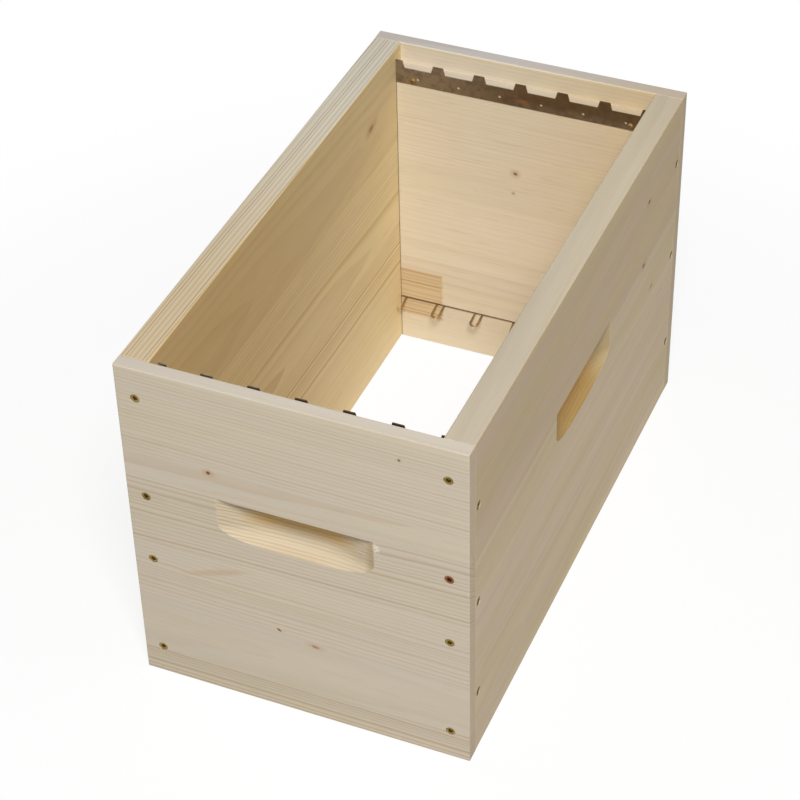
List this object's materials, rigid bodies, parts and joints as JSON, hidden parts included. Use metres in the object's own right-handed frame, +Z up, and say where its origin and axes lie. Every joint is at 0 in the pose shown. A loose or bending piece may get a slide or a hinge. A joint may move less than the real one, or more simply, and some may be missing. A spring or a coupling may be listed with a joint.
{
  "type": "nuc box",
  "caption": "Open wooden nucleus hive body with lapped screwed corners, castellated frame rails, wire frame spacers and scooped handholds; it holds a row of hanging brood frames.",
  "frame": {"origin": "middle of the underside, on the surface that the body stands on", "axes": "+X to the right across the width, +Y along the length from the front board to the rear board, +Z up"},
  "size_m": [0.28, 0.5, 0.314],
  "materials": {
    "end_board_wood": "planed bare spruce",
    "side_board_wood": "planed bare spruce",
    "rail_sheet": "bright rolled sheet",
    "spacer_wire": "dull drawn wire",
    "corner_screws": "yellow zinc",
    "rail_screws": "yellow zinc"
  },
  "bodies": {
    "root": {"front_board": "end_board_wood", "rear_board": "end_board_wood", "left_board": "side_board_wood", "right_board": "side_board_wood", "front_frame_rail": "rail_sheet", "rear_frame_rail": "rail_sheet", "front_wire_spacer": "spacer_wire", "rear_wire_spacer": "spacer_wire", "front_left_end_screws": "corner_screws", "front_right_end_screws": "corner_screws", "rear_left_end_screws": "corner_screws", "rear_right_end_screws": "corner_screws", "front_left_side_screws": "corner_screws", "front_right_side_screws": "corner_screws", "rear_left_side_screws": "corner_screws", "rear_right_side_screws": "corner_screws", "front_rail_left_screw": "rail_screws", "front_rail_right_screw": "rail_screws", "rear_rail_left_screw": "rail_screws", "rear_rail_right_screw": "rail_screws"}
  },
  "joints": []
}
